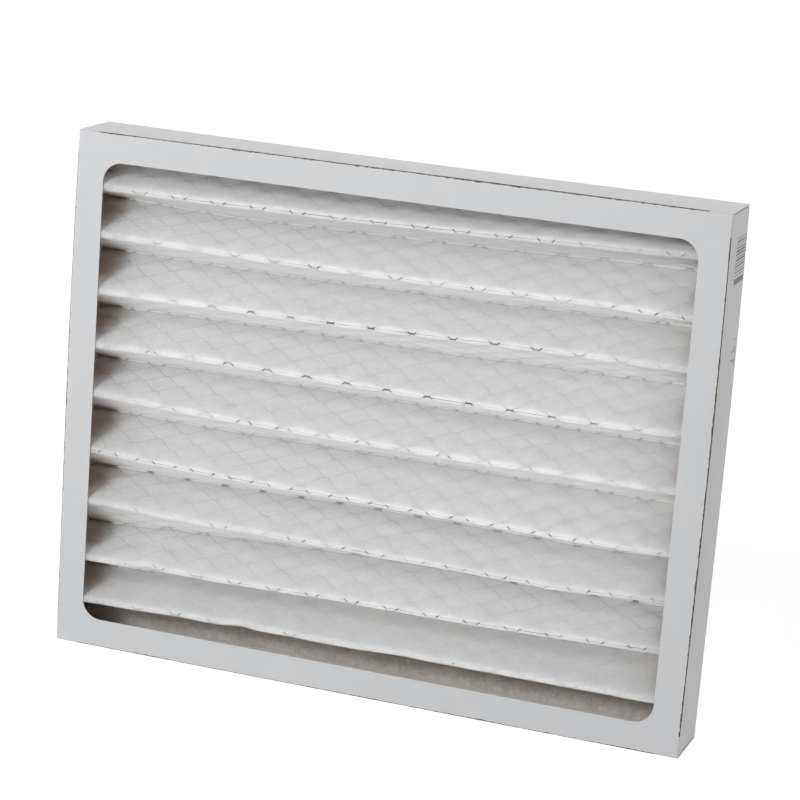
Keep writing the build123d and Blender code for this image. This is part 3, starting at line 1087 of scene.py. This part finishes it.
# Painted light: the deep part of each upper face and the end flaps are lightened where they lie in
# shade.
pale = blend(tree, larger(tree, deep_upper, on_flap), pale, FELT_PAINTED_LIGHT)
# Painted shade: each rear bend is darkened against the light that it catches from the front.
pale = blend(tree, ramp(tree, from_valley, *BEND_EDGE, 0.46, 0.0), pale, BEND_PAINTED_SHADE)
# Painted shade: the sheet above the first front fold, under the top border, is darkened a little.
pale = blend(tree, ramp(tree, flat_along, *FIRST_EDGE, 0.16, 0.0), pale, FIRST_FACE_PAINTED_SHADE)
print("felt whites", FELT_DULL[0], "to", FELT_PAINTED_LIGHT[0])

# %% Painted brown shade near the side walls
WALL_PAINTED_SHADE = (0.36, 0.255, 0.18, 1)
WALL_EDGE = (15 * MM, 36 * MM)  # in from the side walls
BROWN_START = (-24 * MM, -6 * MM)  # along the depth, from none to full
BROWN_BACK = (6 * MM, 17 * MM)  # along the depth, where it weakens

to_wall = less(tree, sheet_half, sums(tree, "ABSOLUTE", place_x))
to_wall = sums(tree, "MULTIPLY_ADD", noise_of(tree, where, 120.0, 3.0), 9 * MM, to_wall)
# Painted shade: a wedge deep in the channels by each side wall, where the walls keep light off,
# tinted brown like light off the board's inside.
wall_shade_mask = times(
    tree,
    ramp(tree, to_wall, *WALL_EDGE, 1.0, 0.0),
    ramp(tree, place_y, *BROWN_START),
    ramp(tree, place_y, *BROWN_BACK, 0.84, 0.6),
    sums(tree, "MULTIPLY_ADD", under, -0.75, 1.0),
)
pale = blend(tree, wall_shade_mask, pale, WALL_PAINTED_SHADE)
print("brown within", WALL_EDGE[1] / MM, "mm of the side walls")

# %% Mottling, and painted shade in the lowest channel
MOTTLE_GREY, LOWEST_PAINTED_SHADE = (0.60, 0.59, 0.58, 1), (0.70, 0.64, 0.59, 1)
LOWEST = (22 * MM, 34 * MM)  # above the floor
LOW_SHADE_DEPTH = (-12 * MM, 0.0)  # along the depth, from none to full

mottle = ramp(tree, noise_of(tree, where, 420.0, 4.0, 0.7), 0.35, 0.7, 0.0, 0.16)
pale = blend(tree, mottle, pale, MOTTLE_GREY)
# Painted shade: the lowest channel, below the last front fold, is darkened and tinted tan in
# uneven patches.
low_shade = times(
    tree,
    ramp(tree, noise_of(tree, where, 190.0, 4.0, 0.65), 0.4, 0.62, 0.0, 0.5),
    ramp(tree, place_z, *LOWEST, 1.0, 0.0),
    ramp(tree, place_y, *LOW_SHADE_DEPTH),
)
pale = blend(tree, low_shade, pale, LOWEST_PAINTED_SHADE)
colour = blend(tree, times(tree, marks, MARK_DEPTH), pale, MARK_COLOUR)
print("settled below", LOWEST[1] / MM, "mm")

# %% Painted shade lines of the steel behind the sheet
LINE_EDGE = (0.04, 0.115)  # rows from a strand
STRAND_SHADE_COLOUR, STRAND_SHADE_DEPTH = (0.30, 0.29, 0.28, 1), 0.55

near_strand = sums(tree, "MULTIPLY_ADD", wobble, 0.05, to_strand)
strand_press_and_shade = times(
    tree,
    ramp(tree, near_strand, *LINE_EDGE, 1.0, 0.0),
    ramp(tree, to_fold, 5 * MM, 16 * MM, 0.12, 1.0),  # faint by the front folds
    ramp(tree, noise_of(tree, flat_at, 55.0, 2.0), 0.3, 0.7, 0.55, 1.0),  # small breaks
    ramp(tree, noise_of(tree, flat_at, 6.0, 1.0), 0.35, 0.65, 0.6, 1.0),  # broad fading
    ramp(tree, flat_across, 100 * MM, 260 * MM, 1.0, 0.6),  # weaker to the right
    ramp(tree, row, 64.0, 67.0, 1.0, 0.35),  # and on the last pleat
)
# Painted shade: the light that comes through is darkened along the strands, which block it from
# behind.
shaded = blend(tree, times(tree, strand_press_and_shade, STRAND_SHADE_DEPTH), colour, STRAND_SHADE_COLOUR)
print("lines are", STRAND_SHADE_DEPTH, "dark at most")

# %% Skin, and light that comes through
FELT_ROUGHNESS, FELT_GLOSS = 0.95, 0.05
FUZZ_STRENGTH, FUZZ_DEPTH = 0.5, 0.3 * MM
LINE_RELIEF = 0.4
THROUGH, THROUGH_CLOUD = 0.54, 0.12  # the translucent share, and how much it drifts

relief = sums(tree, "MULTIPLY_ADD", strand_press_and_shade, LINE_RELIEF, fuzz)
bump = bump_of(tree, relief, FUZZ_STRENGTH, FUZZ_DEPTH)
skin = skin_of(tree, colour, FELT_ROUGHNESS, Normal=bump, Specular_IOR_Level=FELT_GLOSS)
through = add(tree, "ShaderNodeBsdfTranslucent", None, Color=shaded, Normal=bump).outputs[0]
on_board = ramp(tree, on_flap, 0.0, 1.0, 0.0, 0.5)
shade_side = times(tree, under, sums(tree, "MULTIPLY_ADD", deep, 0.08, 0.22))
share = sums(tree, "MULTIPLY_ADD", cloud, THROUGH_CLOUD, THROUGH)
share = less(tree, share, larger(tree, on_board, shade_side))
share = sums(tree, "MULTIPLY_ADD", deep_upper, 0.06, share)
tree.links.new(mix_of(tree, share, skin, through), output.inputs["Surface"])
sheet.data.materials.append(media)
print("nonwoven finish")

# %% [markdown]
# ## Steel and hot melt
#
# The grid is thin galvanised steel, dull grey with a fine spangle. Plain metal with one colour
# would do at this size, but noise on its tone and roughness keeps the strands from flashing all
# alike. The hot melt that seals the sheet to the trays is a pale, lumpy bead, and only slivers of
# it show, so its CAD solids keep their shape and the lumps are bump. Its pale tone is greyed as
# painted shade, since it lies in shadow inside the trays.

# %% Steel
STEEL_DARK, STEEL_LIGHT = (0.46, 0.47, 0.48, 1), (0.66, 0.67, 0.68, 1)

steel, tree, output = new_material("galvanised_steel")
where = tree.nodes.new("ShaderNodeTexCoord").outputs["Object"]
spangle = noise_of(tree, where, 700.0, 2.0)
tone = blend(tree, spangle, STEEL_DARK, STEEL_LIGHT)
dullness = ramp(tree, spangle, 0.2, 0.8, 0.35, 0.6)
tree.links.new(skin_of(tree, tone, dullness, Metallic=1.0), output.inputs["Surface"])
grid.data.materials.append(steel)
print("steel finish")

# %% Hot melt
# Painted shade: the bead's pale tone is greyed, as it lies in shadow inside the trays.
MELT_AND_SHADE_DARK, MELT_AND_SHADE_LIGHT = (0.52, 0.495, 0.47, 1), (0.66, 0.64, 0.61, 1)
MELT_ROUGHNESS = 0.38
LUMP_STRENGTH, LUMP_DEPTH = 0.6, 0.6 * MM
GLUE_NODES = ("glue_left", "glue_right", "glue_top", "glue_bottom")

melt, tree, output = new_material("hot_melt")
where = tree.nodes.new("ShaderNodeTexCoord").outputs["Object"]
lumps = noise_of(tree, where, 260.0, 3.0)
tone = blend(tree, lumps, MELT_AND_SHADE_DARK, MELT_AND_SHADE_LIGHT)
bump = bump_of(tree, lumps, LUMP_STRENGTH, LUMP_DEPTH)
skin = skin_of(tree, tone, MELT_ROUGHNESS, Normal=bump)
tree.links.new(skin, output.inputs["Surface"])
for node in GLUE_NODES:
    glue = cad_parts[node]
    glue.data.materials.clear()
    glue.data.materials.append(melt)
print("hot melt on", len(GLUE_NODES), "nodes")

# %% [markdown]
# ## Finish
#
# Standard view keeps each colour about as it is written.

# %% Finish
bpy.context.scene.view_settings.view_transform = "Standard"
